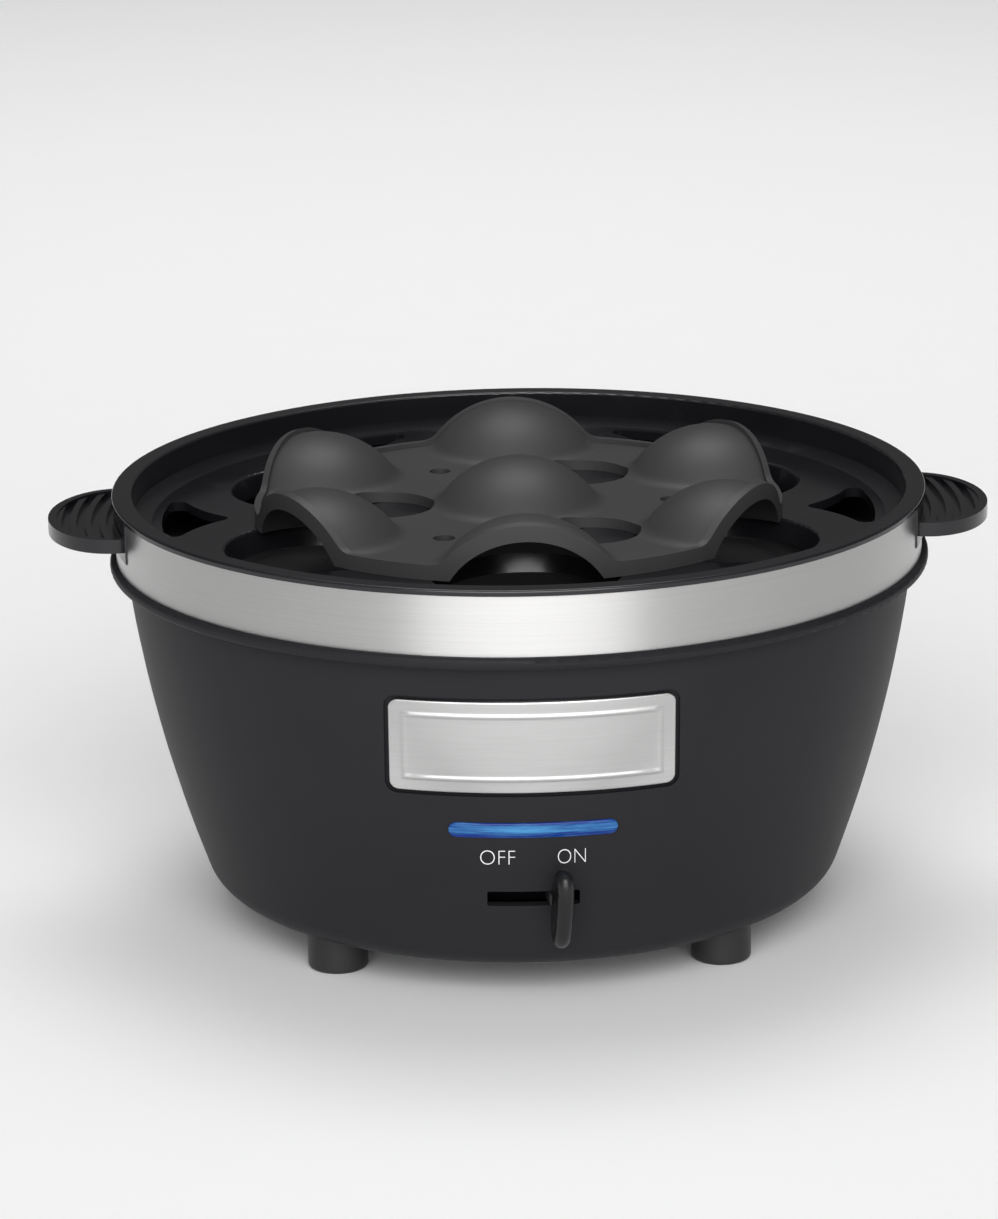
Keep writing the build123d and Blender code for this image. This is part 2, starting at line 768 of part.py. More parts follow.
spring_x = cavity_width / 2 - seat_gap
spring_y = switch_y + block_cavity - seat_gap
with BuildPart() as detent_spring:
    with BuildSketch(Plane.XY.offset(lever_z - spring_height / 2)):
        with BuildLine():
            back = ThreePointArc((-spring_x, spring_y), (0, spring_y - spring_arch), (spring_x, spring_y))
            front = ThreePointArc(
                (-spring_x, spring_y - spring_thick),
                (0, spring_y - spring_arch - spring_thick),
                (spring_x, spring_y - spring_thick),
            )
            Line(back @ 0, front @ 0)
            Line(back @ 1, front @ 1)
        make_face()
    extrude(amount=spring_height)
save(detent_spring, "detent_spring")

with BuildPart() as switch_terminals:
    with BuildSketch(Plane.XZ.offset(-block_back_y)):
        with Locations((-terminal_spread / 2, lever_z), (terminal_spread / 2, lever_z)):
            Rectangle(blade_width, blade_thick)
    extrude(amount=-blade_length)
save(switch_terminals, "switch_terminals")

# The lever at ON, swung to the right: this plane stands along it, with the pivot as origin
swing = radians(lever_swing)
lever_plane = Plane(
    origin=(0, switch_y, lever_z), x_dir=(sin(swing), -cos(swing), 0), z_dir=(-cos(swing), -sin(swing), 0)
)
lever_slope = degrees(asin((wall_centre_z - lever_z) / wall_arc))
fin_out = lever_clear + lever_depth / 2
fin_u = pivot_depth + fin_out * cos(radians(lever_slope)) + lever_lift * sin(radians(lever_slope))
fin_v = lever_lift * cos(radians(lever_slope)) - fin_out * sin(radians(lever_slope))
stalk_start = rotor_arm - socket_depth + seat_gap
with BuildPart() as lever_rotor:
    with BuildSketch(Plane.XY.offset(lever_z - hub_height / 2)):
        with Locations((0, switch_y)):
            Circle(hub_radius)
    extrude(amount=hub_height)
    with BuildSketch(lever_plane):
        Rectangle(rotor_arm, rotor_arm_height, align=(Align.MIN, Align.CENTER))
    extrude(amount=rotor_arm_width / 2, both=True)
    with BuildSketch(lever_plane):
        Rectangle(rotor_tail, rotor_arm_height, align=(Align.MAX, Align.CENTER))
    extrude(amount=rotor_tail_width / 2, both=True)
    with BuildSketch(lever_plane):
        with Locations((rotor_arm - socket_depth, 0)):
            Rectangle(
                socket_depth + overrun,
                stalk_height + 2 * seat_gap,
                align=(Align.MIN, Align.CENTER),
            )
    extrude(amount=stalk_width / 2 + seat_gap, both=True, mode=Mode.SUBTRACT)
    with Locations((0, switch_y, lever_z)):
        Cylinder(pin_radius + pin_gap, hub_height + overrun, mode=Mode.SUBTRACT)
save(lever_rotor, "lever_rotor")

with BuildPart() as switch_lever:
    with BuildSketch(lever_plane):
        with Locations((fin_u, fin_v)):
            SlotOverall(lever_length, lever_depth, rotation=90 - lever_slope)
    extrude(amount=lever_thick / 2, both=True)
    fillet(switch_lever.edges(), radius=lever_round)
    with BuildSketch(lever_plane):
        with Locations((stalk_start, 0)):
            Rectangle(fin_u - stalk_start, stalk_height, align=(Align.MIN, Align.CENTER))
    extrude(amount=stalk_width / 2, both=True)
save(switch_lever, "switch_lever")

# Light board, its lamps and the buzzer
board_plane = Plane.XZ.offset(-board_y)
with BuildPart() as control_board:
    with BuildSketch(board_plane):
        with Locations((0, light_z)):
            Rectangle(board_width, board_height)
        with Locations(*board_screw_places):
            Circle(screw_radius + seat_gap, mode=Mode.SUBTRACT)
    extrude(amount=-board_thick)
save(control_board, "control_board")

led_span = led_pitch * (led_count - 1) / 2
led_length = sqrt(bowl_radius(light_z, light_depth) ** 2 - led_span**2) + board_y - led_clear
with BuildPart() as indicator_leds:
    with BuildSketch(board_plane):
        with Locations((0, light_z)):
            with GridLocations(led_pitch, 0, led_count, 1):
                Circle(led_radius)
    extrude(amount=led_length)
    fillet(indicator_leds.edges().group_by(Axis.Y)[0], radius=led_radius * led_dome_share)
save(indicator_leds, "indicator_leds")

with BuildPart() as board_screws:
    with BuildSketch(Plane.XZ.offset(-board_y - board_thick)):
        with Locations(*board_screw_places):
            Circle(screw_head_radius)
    extrude(amount=-screw_head_height)
    with BuildSketch(Plane.XZ.offset(-board_y - board_thick)):
        with Locations(*board_screw_places):
            Circle(screw_radius)
    extrude(amount=board_thick + board_screw_grip - seat_gap)
save(board_screws, "board_screws")

with BuildPart() as buzzer:
    with BuildSketch(Plane.XZ.offset(-board_y - board_thick)):
        with Locations((0, light_z)):
            Circle(buzzer_radius)
    extrude(amount=-buzzer_height)
    chamfer(buzzer.edges().group_by(Axis.Y)[-1], length=buzzer_bevel)
save(buzzer, "buzzer")

# Terminal block on the base cover
with BuildPart() as terminal_block:
    with BuildSketch(Plane.XY.offset(cover_floor_z)):
        with Locations((0, mains_block_back)):
            Rectangle(mains_block_width, mains_block_depth)
    extrude(amount=mains_block_height)
    with BuildSketch(Plane.XY.offset(cover_floor_z + mains_block_height)):
        with Locations((0, mains_block_back)):
            with GridLocations(mains_screw_pitch, 0, mains_screw_count, 1):
                Circle(screw_radius + seat_gap)
    extrude(amount=-mains_block_height / 2, mode=Mode.SUBTRACT)
    with BuildSketch(Plane.XZ.offset(-mains_block_back - mains_block_depth)):
        with Locations((0, cover_floor_z + mains_block_height / 4)):
            with GridLocations(mains_screw_pitch, 0, mains_screw_count, 1):
                Circle(screw_radius)
    extrude(amount=2 * mains_block_depth, mode=Mode.SUBTRACT)
save(terminal_block, "terminal_block")

with BuildPart() as terminal_screws:
    with BuildSketch(Plane.XY.offset(cover_floor_z + mains_block_height - screw_head_height)):
        with Locations((0, mains_block_back)):
            with GridLocations(mains_screw_pitch, 0, mains_screw_count, 1):
                Circle(screw_radius)
    extrude(amount=-(mains_block_height / 2 - screw_head_height - seat_gap))
save(terminal_screws, "terminal_screws")

with BuildPart() as cord_bush:
    with BuildSketch(Plane.XZ.offset(-outlet_pad_y)):
        with Locations((0, outlet_z)):
            Circle(bush_radius)
    extrude(amount=bush_inside)
    with BuildSketch(Plane.XZ.offset(-outlet_pad_y)):
        with Locations((0, outlet_z)):
            Circle(bush_radius + bush_flange)
    extrude(amount=-bush_flange_thick)
    fillet(cord_bush.edges().group_by(Axis.Y)[-1], radius=bush_flange_thick / 3)
    with BuildSketch(Plane.XZ.offset(-outlet_pad_y - bush_flange_thick - overrun)):
        with Locations((0, outlet_z)):
            Circle(bush_bore)
    extrude(amount=bush_inside + bush_flange_thick + 2 * overrun, mode=Mode.SUBTRACT)
save(cord_bush, "cord_bush")

# Egg tray: a turned dish with a flat rim, seven funnel seats, six vents and two handles
step_z = rim_top_z - tray_step
slope_inner = tray_inner - tray_slope
tray_under_z = tray_floor_z - tray_thick
vent_radius = slope_inner - vent_margin
vent_web_radius = vent_radius - seat_ring + vent_divide
seat_low_radius = seat_radius - seat_taper
seat_height = tray_thick + seat_skirt_drop
seat_slope_share = seat_taper / seat_height
seat_places = PolarLocations(seat_ring, seat_count, start_angle=seat_start_angle)
handle_top_z = rim_top_z - handle_drop
handle_z = handle_top_z - handle_thick
handle_root = band_radius
rib_places = [handle_root + rib_start + rib_pitch * i for i in range(rib_count)]
root_width = notch_width - 2 * moving_gap
root_radius = band_radius + rim_proud / 2
with BuildSketch(Plane.XY.offset(handle_z)) as handle_outline:
    with Locations((handle_root, 0), (-handle_root, 0)):
        Ellipse(handle_reach, handle_width / 2)
    Circle(tray_inner + tray_wall / 2, mode=Mode.SUBTRACT)
with BuildPart() as handle_ribs:
    for radius in rib_places:
        add(ring(radius + rib_width / 2, radius - rib_width / 2, handle_top_z - handle_recess, rib_rise))
    with BuildSketch(Plane.XY.offset(handle_z)):
        with Locations((handle_root, 0), (-handle_root, 0)):
            Ellipse(handle_reach - handle_lip / 2, (handle_width - handle_lip) / 2)
    extrude(amount=handle_thick, mode=Mode.INTERSECT)
with BuildPart() as egg_tray:
    with BuildSketch(Plane.XZ):
        with BuildLine():
            Polyline(
                (0, tray_under_z),
                (slope_inner, tray_under_z),
                (tray_radius, step_z - tray_thick),
                (tray_radius, rim_z),
                (rim_radius, rim_z),
                (rim_radius, rim_top_z),
                (tray_inner, rim_top_z),
                (tray_inner, step_z),
                (slope_inner, tray_floor_z),
                (0, tray_floor_z),
                close=True,
            )
        make_face()
    revolve(axis=Axis.Z)
    fillet(egg_tray.edges().group_by(Axis.Z)[-1], radius=rim_round)
    # Root blocks that fill the band's notches
    with BuildSketch(Plane.XY.offset(notch_z + moving_gap)):
        Circle(root_radius)
        Circle(tray_inner + tray_wall / 2, mode=Mode.SUBTRACT)
        Rectangle(2 * bead_radius, root_width, mode=Mode.INTERSECT)
    extrude(amount=rim_z - notch_z - moving_gap + rim_thick / 2)
    # Handles, dished on top with curved ribs
    extrude(handle_outline.sketch, amount=handle_thick)
    with BuildSketch(Plane.XY.offset(handle_top_z - handle_recess)):
        with Locations((handle_root, 0), (-handle_root, 0)):
            Ellipse(handle_reach - handle_lip, handle_width / 2 - handle_lip)
        Circle(rim_radius, mode=Mode.SUBTRACT)
    extrude(amount=handle_recess, mode=Mode.SUBTRACT)
    add(handle_ribs.part)
    # Seats: a tapered skirt under each hole
    for places in (seat_places, Locations((0, 0))):
        with places:
            with Locations((0, 0, tray_floor_z)):
                Cone(
                    seat_low_radius + seat_skirt_wall,
                    seat_radius + seat_skirt_wall,
                    seat_height,
                    align=(Align.CENTER, Align.CENTER, Align.MAX),
                )
    for places in (seat_places, Locations((0, 0))):
        with places:
            with Locations((0, 0, tray_floor_z + overrun)):
                Cone(
                    seat_low_radius - overrun * seat_slope_share,
                    seat_radius + overrun * seat_slope_share,
                    seat_height + 2 * overrun,
                    align=(Align.CENTER, Align.CENTER, Align.MAX),
                    mode=Mode.SUBTRACT,
                )
    seat_edges = egg_tray.edges().filter_by(GeomType.CIRCLE).filter_by_position(
        Axis.Z, tray_floor_z - seat_gap, tray_floor_z + seat_gap
    )
    fillet(seat_edges.sort_by(SortBy.RADIUS)[: seat_count + 1], radius=seat_round)
    # Vents: three-sided, between two seats and the wall
    with BuildSketch(Plane.XY.offset(tray_floor_z + overrun)) as vents:
        Circle(vent_radius)
        with seat_places:
            Circle(vent_web_radius, mode=Mode.SUBTRACT)
        Circle(seat_ring, mode=Mode.SUBTRACT)
        fillet(vents.vertices(), radius=vent_round)
    extrude(amount=-(tray_thick + 2 * overrun), mode=Mode.SUBTRACT)
save(egg_tray, "egg_tray")

# Upper tray: a flat sheet with seven domes, trimmed round so that the outer domes
# end in open arches, with a raised lip all round the edge
dome_ball = (dome_radius**2 + dome_rise**2) / (2 * dome_rise)
dome_z = tray_floor_z + rack_thick + dome_rise - dome_ball
# Each upper seat stands over the middle of three lower ones.
rack_seat_ring = seat_ring / sqrt(3)


def domed_sheet(thick):
    """A disc with a ball standing through it at every seat, blended where they meet."""
    disc = seat_ring + 2 * dome_radius
    ball = dome_ball + thick - rack_thick
    with BuildPart() as sheet:
        with BuildSketch(Plane.XY.offset(tray_floor_z)):
            Circle(disc)
        extrude(amount=thick)
        for places in (seat_places, Locations((0, 0))):
            with places:
                with Locations((0, 0, dome_z)):
                    Sphere(ball)
        split(bisect_by=Plane.XY.offset(tray_floor_z), keep=Keep.TOP)
        feet = sheet.edges().filter_by_position(
            Axis.Z, tray_floor_z + thick - seat_gap, tray_floor_z + thick + seat_gap
        )
        fillet(feet.sort_by(SortBy.RADIUS)[:-1], radius=rack_blend)
    return sheet.part


rack_edge = ring(rack_radius, rack_radius - rack_lip_width, tray_floor_z - overrun, dome_ball * 2)
with BuildPart() as rack_lip_ring:
    add(domed_sheet(rack_thick + rack_lip))
    add(rack_edge, mode=Mode.INTERSECT)
with BuildPart() as upper_tray:
    add(domed_sheet(rack_thick))
    with BuildSketch(Plane.XY.offset(tray_floor_z)):
        Circle(rack_radius)
    extrude(amount=dome_ball * 2, mode=Mode.INTERSECT)
    add(rack_lip_ring.part)
    for places in (seat_places, Locations((0, 0))):
        with places:
            with Locations((0, 0, dome_z)):
                Sphere(dome_ball - rack_thick, mode=Mode.SUBTRACT)
    with PolarLocations(rack_seat_ring, rack_seat_count, start_angle=rack_seat_angle):
        with Locations((0, 0, tray_floor_z)):
            Cylinder(rack_seat_radius, 2 * dome_ball, mode=Mode.SUBTRACT)
    with PolarLocations(rack_vent_ring, rack_seat_count, start_angle=rack_vent_angle):
        with Locations((0, 0, tray_floor_z)):
            Cylinder(rack_vent_radius, 2 * dome_ball, mode=Mode.SUBTRACT)
save(upper_tray, "upper_tray")
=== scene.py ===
# %% [markdown]
# # Dressing an electric egg cooker
#
# The solids of this kitchen appliance come in ready made, in metres, each one where it
# belongs. This lesson gives them a camera, a plain studio, and finishes that follow the
# real thing: satin and gloss moulded plastic, brushed steel, a lit blue light bar and
# white printed words by the switch.

# %% Load the solids
import bmesh
import bpy
import numpy as np
from math import atan, radians
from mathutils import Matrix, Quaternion, Vector


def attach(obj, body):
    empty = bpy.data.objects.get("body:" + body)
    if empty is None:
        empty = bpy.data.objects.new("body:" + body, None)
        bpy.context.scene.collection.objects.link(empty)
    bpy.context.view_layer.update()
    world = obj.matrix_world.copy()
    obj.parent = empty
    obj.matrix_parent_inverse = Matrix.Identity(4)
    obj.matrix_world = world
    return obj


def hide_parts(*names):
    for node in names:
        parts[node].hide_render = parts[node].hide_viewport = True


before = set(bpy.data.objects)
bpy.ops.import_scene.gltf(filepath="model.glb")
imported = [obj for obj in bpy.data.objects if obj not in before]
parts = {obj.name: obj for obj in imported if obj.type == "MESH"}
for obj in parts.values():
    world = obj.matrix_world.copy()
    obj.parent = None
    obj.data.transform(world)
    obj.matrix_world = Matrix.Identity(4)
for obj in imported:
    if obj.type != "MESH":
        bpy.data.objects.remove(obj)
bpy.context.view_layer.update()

# %% [markdown]
# ## The camera
#
# The picture to match was taken from a little above, almost straight from the front, with
# a long lens. A long lens could be had by moving far away and cropping, but the rings of
# the band and rim open by different amounts, and that fixes the distance at about a metre.
# The camera therefore stands there, aims at the axis a little below the band, and turns by
# the fraction of a degree that puts the axis right of the middle of the picture.

# %% Camera
picture_wide, picture_high = 998, 1219
focal_px = 4593.5
axis_column_px = 519.7
aim = Vector((0, 0, 0.0662))
turn, rise, roll = radians(-1.6), radians(15.99), radians(-0.79)
distance = 1.0
away = Vector((np.sin(turn) * np.cos(rise), -np.cos(turn) * np.cos(rise), np.sin(rise)))

lens = bpy.data.cameras.new("lens")
lens.sensor_width = 36
lens.lens = focal_px * lens.sensor_width / picture_high
lens.clip_start, lens.clip_end = 0.05, 50
camera = bpy.data.objects.new("camera", lens)
camera.location = aim + away * distance
camera.rotation_mode = "QUATERNION"
camera.rotation_quaternion = (
    (-away).to_track_quat("-Z", "Y")
    @ Quaternion((0, 1, 0), atan((axis_column_px - picture_wide / 2) / focal_px))
    @ Quaternion((0, 0, 1), roll)
)
bpy.context.scene.collection.objects.link(camera)
bpy.context.scene.camera = camera
bpy.context.scene.view_settings.view_transform = "Standard"
print("focal length:", round(lens.lens, 1), "mm")

# %% [markdown]
# ## Shader helpers
#
# Finishes are built from nodes. Written out in full, every node takes several lines, so one
# small helper adds a node, fills its sockets and links what is handed to it. Effects that
# several finishes share are made once as node groups: they put out colours, roughness and
# heights that change over the surface, and each finish keeps its own shader.

# %% Node helper
def add_node(tree, kind, settings=None, **sockets):
    """Adds a node, sets its properties, and fills or links its sockets by name."""
    made = tree.nodes.new(kind)
    for key, value in (settings or {}).items():
        setattr(made, key, value)
    for key, value in sockets.items():
        socket = made.inputs[key.replace("_", " ")]
        if isinstance(value, bpy.types.NodeSocket):
            tree.links.new(value, socket)
        else:
            socket.default_value = value
    return made


def maths(tree, operation, a, b=0.0, c=0.0):
    """The result socket of one Math node."""
    made = tree.nodes.new("ShaderNodeMath")
    made.operation = operation
    for socket, value in zip(made.inputs, (a, b, c)):
        if isinstance(value, bpy.types.NodeSocket):
            tree.links.new(value, socket)
        else:
            socket.default_value = value
    return made.outputs[0]


def shade(tree, colour, factor):
    """A colour times a factor that varies over the surface."""
    made = add_node(tree, "ShaderNodeVectorMath", {"operation": "SCALE"})
    tree.links.new(colour, made.inputs[0])
    tree.links.new(factor, made.inputs["Scale"])
    return made.outputs[0]


def noise(tree, place, **sockets):
    """The value of a noise texture at a place."""
    return add_node(tree, "ShaderNodeTexNoise", Vector=place, **sockets).outputs[0]


def smooth_step(tree, value, low, high):
    """0 where the value is at low, 1 where it is at high, and a smooth rise between."""
    made = add_node(tree, "ShaderNodeMapRange", {"interpolation_type": "SMOOTHSTEP"}, Value=value)
    made.inputs["From Min"].default_value, made.inputs["From Max"].default_value = low, high
    return made.outputs[0]


def start_group(name, inputs, outputs):
    """A new shader group with named sockets, and its two end nodes."""
    group = bpy.data.node_groups.new(name, "ShaderNodeTree")
    for socket, kind, value in inputs:
        made = group.interface.new_socket(name=socket, in_out="INPUT", socket_type=kind)
        made.default_value = value
    for socket, kind in outputs:
        group.interface.new_socket(name=socket, in_out="OUTPUT", socket_type=kind)
    return group, group.nodes.new("NodeGroupInput").outputs, group.nodes.new("NodeGroupOutput").inputs


number, colour_kind, vector_kind = "NodeSocketFloat", "NodeSocketColor", "NodeSocketVector"
surface_outputs = [("Colour", colour_kind), ("Roughness", number), ("Height", number)]

# %% [markdown]
# ## Moulded plastic, brushed metal and handling marks
#
# A moulded part takes the spark-eroded texture of its tool, so its sheen is broken up at
# a tenth of a millimetre, and the sheen also drifts slowly over the part. Brushed sheet has
# long hairlines in one direction. A picture of either would repeat and stretch; noise on the
# object's own coordinates does neither, and squeezing one axis turns it into hairlines.
# Handling marks are the faint patches that fingers and cloths leave on glossy surfaces.

# %% Shared groups
noise_mean, mark_from, mark_full = 0.5, 0.5, 0.75

moulded, given, out = start_group(
    "moulded_grain",
    [("Place", vector_kind, (0, 0, 0)), ("Colour", colour_kind, (0.5, 0.5, 0.5, 1)),
     ("Roughness", number, 0.4), ("Spread", number, 0.1), ("Mottle", number, 0.1), ("Grain", number, 6000.0)],
    surface_outputs,
)
fine = noise(moulded, given["Place"], Scale=given["Grain"], Detail=2.0)
slow = noise(moulded, given["Place"], Scale=45.0, Detail=3.0)
drift = maths(moulded, "SUBTRACT", slow, noise_mean)
mottled = maths(moulded, "MULTIPLY_ADD", drift, given["Mottle"], 1.0)
moulded.links.new(shade(moulded, given["Colour"], mottled), out["Colour"])
worn = maths(moulded, "MULTIPLY_ADD", drift, given["Spread"], given["Roughness"])
speck = maths(moulded, "MULTIPLY", maths(moulded, "SUBTRACT", fine, noise_mean), given["Spread"])
moulded.links.new(maths(moulded, "ADD", worn, speck), out["Roughness"])
moulded.links.new(fine, out["Height"])

brushed, given, out = start_group(
    "brush_lines",
    [("Place", vector_kind, (0, 0, 0)), ("Colour", colour_kind, (0.6, 0.6, 0.6, 1)),
     ("Roughness", number, 0.3), ("Spread", number, 0.15), ("Contrast", number, 0.2),
     ("Squeeze", vector_kind, (1, 1, 1))],
    surface_outputs,
)
squeezed = add_node(brushed, "ShaderNodeVectorMath", {"operation": "MULTIPLY"})
brushed.links.new(given["Place"], squeezed.inputs[0])
brushed.links.new(given["Squeeze"], squeezed.inputs[1])
hair = noise(brushed, squeezed.outputs[0], Scale=1.0, Detail=4.0, Roughness=0.7)
line = maths(brushed, "SUBTRACT", hair, noise_mean)
lined = maths(brushed, "MULTIPLY_ADD", line, given["Contrast"], 1.0)
brushed.links.new(shade(brushed, given["Colour"], lined), out["Colour"])
rubbed = maths(brushed, "MULTIPLY_ADD", line, given["Spread"], given["Roughness"])
brushed.links.new(rubbed, out["Roughness"])
brushed.links.new(hair, out["Height"])

handled, given, out = start_group(
    "handling_marks",
    [("Place", vector_kind, (0, 0, 0)), ("Roughness", number, 0.2), ("Amount", number, 0.15)],
    [("Roughness", number)],
)
patch = noise(handled, given["Place"], Scale=70.0, Detail=5.0, Roughness=0.65)
mask = smooth_step(handled, patch, mark_from, mark_full)
dulled = maths(handled, "MULTIPLY_ADD", mask, given["Amount"], given["Roughness"])
handled.links.new(dulled, out["Roughness"])
print("groups:", [g.name for g in bpy.data.node_groups])

# %% [markdown]
# ## Finishes
#
# Two recipes cover nearly every part. Plastic, rubber and paint use the moulded grain, with
# handling marks where the surface is glossy. Metal uses the hairlines. What differs between
# parts is the colour, how rough it is, and which way the brushing runs.

# %% Recipes
grain_depth, hairline_depth = 0.00004, 0.00003


def new_finish(name):
    """An empty material with its shader and the place on the object."""
    made = bpy.data.materials.new(name)
    made.use_nodes = True
    tree = made.node_tree
    place = tree.nodes.new("ShaderNodeTexCoord").outputs["Object"]
    return made, tree, tree.nodes["Principled BSDF"], place


def bump(tree, shader, height, strength, depth):
    """Lets a height tilt the surface normal."""
    made = add_node(tree, "ShaderNodeBump", Height=height, Strength=strength, Distance=depth)
    tree.links.new(made.outputs[0], shader.inputs["Normal"])


def place_group(tree, group, **sockets):
    """A group node in a material, with its own values."""
    return add_node(tree, "ShaderNodeGroup", {"node_tree": group}, **sockets)


def plastic(name, colour, roughness, spread, mottle, grain, strength, specular=0.5, marks=0.0):
    """Moulded plastic, rubber or paint: grain over a slow drift of sheen."""
    made, tree, shader, place = new_finish(name)
    skin = place_group(tree, moulded, Place=place, Colour=(*colour, 1), Roughness=roughness,
                       Spread=spread, Mottle=mottle, Grain=grain)
    tree.links.new(skin.outputs["Colour"], shader.inputs["Base Color"])
    rough = skin.outputs["Roughness"]
    if marks:
        rough = place_group(tree, handled, Place=place, Roughness=rough, Amount=marks).outputs[0]
    tree.links.new(rough, shader.inputs["Roughness"])
    shader.inputs["Specular IOR Level"].default_value = specular
    bump(tree, shader, skin.outputs["Height"], strength, grain_depth)
    return made


def metal(name, colour, roughness, spread, contrast, squeeze, strength, stretch=0.0):
    """Brushed or drawn metal: hairlines along the directions that are squeezed least. Level
    hairlines stretch a highlight upright, by the share that stretch gives."""
    made, tree, shader, place = new_finish(name)
    skin = place_group(tree, brushed, Place=place, Colour=(*colour, 1), Roughness=roughness,
                       Spread=spread, Contrast=contrast, Squeeze=squeeze)
    tree.links.new(skin.outputs["Colour"], shader.inputs["Base Color"])
    tree.links.new(skin.outputs["Roughness"], shader.inputs["Roughness"])
    shader.inputs["Metallic"].default_value = 1.0
    shader.inputs["Anisotropic"].default_value = stretch
    shader.inputs["Anisotropic Rotation"].default_value = 0.25
    bump(tree, shader, skin.outputs["Height"], strength, hairline_depth)
    return made


# %% Outer finishes
# plastic: name, colour, roughness, spread, mottle, grain, bump strength, specular, marks
# metal: name, colour, roughness, spread, contrast, squeeze, bump strength, stretch
bowl_satin = plastic("bowl_satin", (0.018, 0.0175, 0.0202), 0.5, 0.08, 0.25, 7000, 0.12, 0.12)
tray_gloss = plastic("tray_gloss", (0.009, 0.009, 0.011), 0.2, 0.06, 0.3, 5000, 0.04, 0.5, 0.12)
lever_gloss = plastic("lever_gloss", (0.009, 0.009, 0.01), 0.27, 0.06, 0.3, 6000, 0.06, 0.35, 0.08)
rack_matte = plastic("rack_matte", (0.04, 0.04, 0.041), 0.5, 0.1, 0.25, 6500, 0.15, 0.45)
foot_rubber = plastic("foot_rubber", (0.016, 0.016, 0.017), 0.4, 0.12, 0.35, 5000, 0.12, 0.45, 0.1)
band_steel = metal("band_steel", (0.55, 0.547, 0.543), 0.36, 0.14, 0.28, (9, 9, 5200), 0.1, 0.8)
plate_steel = metal("plate_steel", (0.58, 0.58, 0.577), 0.36, 0.14, 0.3, (60, 60, 5200), 0.12, 0.6)
print("outer finishes:", len(bpy.data.materials))

# %% Inner finishes
dish_coat = plastic("dish_coat", (0.03, 0.03, 0.033), 0.36, 0.14, 0.3, 3500, 0.2, 0.5)
bare_steel = metal("bare_steel", (0.5, 0.5, 0.5), 0.36, 0.2, 0.25, (900, 900, 900), 0.12)
heater_steel = metal("heater_steel", (0.38, 0.37, 0.35), 0.42, 0.22, 0.35, (700, 700, 700), 0.15)
contact_brass = metal("contact_brass", (0.72, 0.55, 0.27), 0.32, 0.18, 0.22, (900, 300, 900), 0.1)
seal_silicone = plastic("seal_silicone", (0.36, 0.07, 0.045), 0.6, 0.1, 0.2, 3000, 0.12, 0.4)
block_plastic = plastic("block_plastic", (0.5, 0.48, 0.42), 0.55, 0.1, 0.12, 5000, 0.12, 0.45)
board_lacquer = plastic("board_lacquer", (0.02, 0.13, 0.045), 0.3, 0.12, 0.4, 2500, 0.08, 0.5, 0.1)
lamp_clear = plastic("lamp_clear", (0.06, 0.2, 0.6), 0.18, 0.05, 0.2, 4000, 0.03, 0.5)
buzzer_black = plastic("buzzer_black", (0.02, 0.02, 0.021), 0.45, 0.1, 0.2, 4000, 0.12)
print("finishes:", len(bpy.data.materials))

# %% [markdown]
# ## The light bar's finish
#
# The bar glows blue along its length, paler where the lamps sit behind it. A plain blue
# would look like paint, so the colour runs between two blues in long thin streaks, deep
# blue at its edges and palest along its line, a little left of the middle.

# %% Light bar finish
light_blue, tree, shader, place = new_finish("light_blue")
streak = place_group(tree, brushed, Place=place, Colour=(1, 1, 1, 1), Roughness=0.2, Spread=0.1,
                     Contrast=1.0, Squeeze=(120, 120, 2400))
axes = add_node(tree, "ShaderNodeSeparateXYZ", Vector=place).outputs
pale_left, pale_far, pale_near = 0.0025, 0.011, 0.001
line_z, line_far, line_near = 0.0421, 0.0016, 0.0002
core_share, lamp_share, streak_share, streak_base = 0.3, 0.35, 1.3, -0.4
off_middle = maths(tree, "ABSOLUTE", maths(tree, "ADD", axes["X"], pale_left))
near_lamp = smooth_step(tree, off_middle, pale_far, pale_near)
off_line = maths(tree, "ABSOLUTE", maths(tree, "SUBTRACT", axes["Z"], line_z))
core = smooth_step(tree, off_line, line_far, line_near)
lit = maths(tree, "MULTIPLY", core, maths(tree, "MULTIPLY_ADD", near_lamp, lamp_share, core_share))
streaked = maths(tree, "MULTIPLY_ADD", streak.outputs["Height"], streak_share, streak_base)
ramp = add_node(tree, "ShaderNodeValToRGB", Fac=maths(tree, "ADD", lit, streaked))
blues = ((0.27, (0.003, 0.022, 0.16, 1)), (0.95, (0.05, 0.22, 0.44, 1)))
for stop, (position, blue) in zip(ramp.color_ramp.elements, blues):
    stop.position, stop.color = position, blue
tree.links.new(ramp.outputs[0], shader.inputs["Base Color"])
tree.links.new(ramp.outputs[0], shader.inputs["Emission Color"])
tree.links.new(streak.outputs["Roughness"], shader.inputs["Roughness"])
shader.inputs["Emission Strength"].default_value = 0.2
shader.inputs["Specular IOR Level"].default_value = 0.25
print("light bar finish:", light_blue.name)

# %% [markdown]
# ## The bowl's wall as a formula
#
# The words by the switch, the name plate and the light bar all follow the curved front of
# the bowl. The wall is an arc turned about the upright axis, so its radius at any height
# comes from the arc's circle. A flat shape is wrapped by reading its own x and height,
# looking up the wall there, and moving out along the wall's normal by the shape's depth.

# %% Wrap onto the wall
# Radius and height of the wall's ends, and how far the arc bows out from its chord
wall_top, wall_low = np.array([0.0849, 0.0787]), np.array([0.0694, 0.013])
wall_bow = 0.0019
chord = np.hypot(*(wall_top - wall_low))
arc = chord**2 / (8 * wall_bow) + wall_bow / 2
lean = np.arctan2(*(wall_top - wall_low)) + np.arcsin(chord / (2 * arc))
arc_middle = np.array([wall_low[0] - arc * np.cos(lean), wall_low[1] + arc * np.sin(lean)])


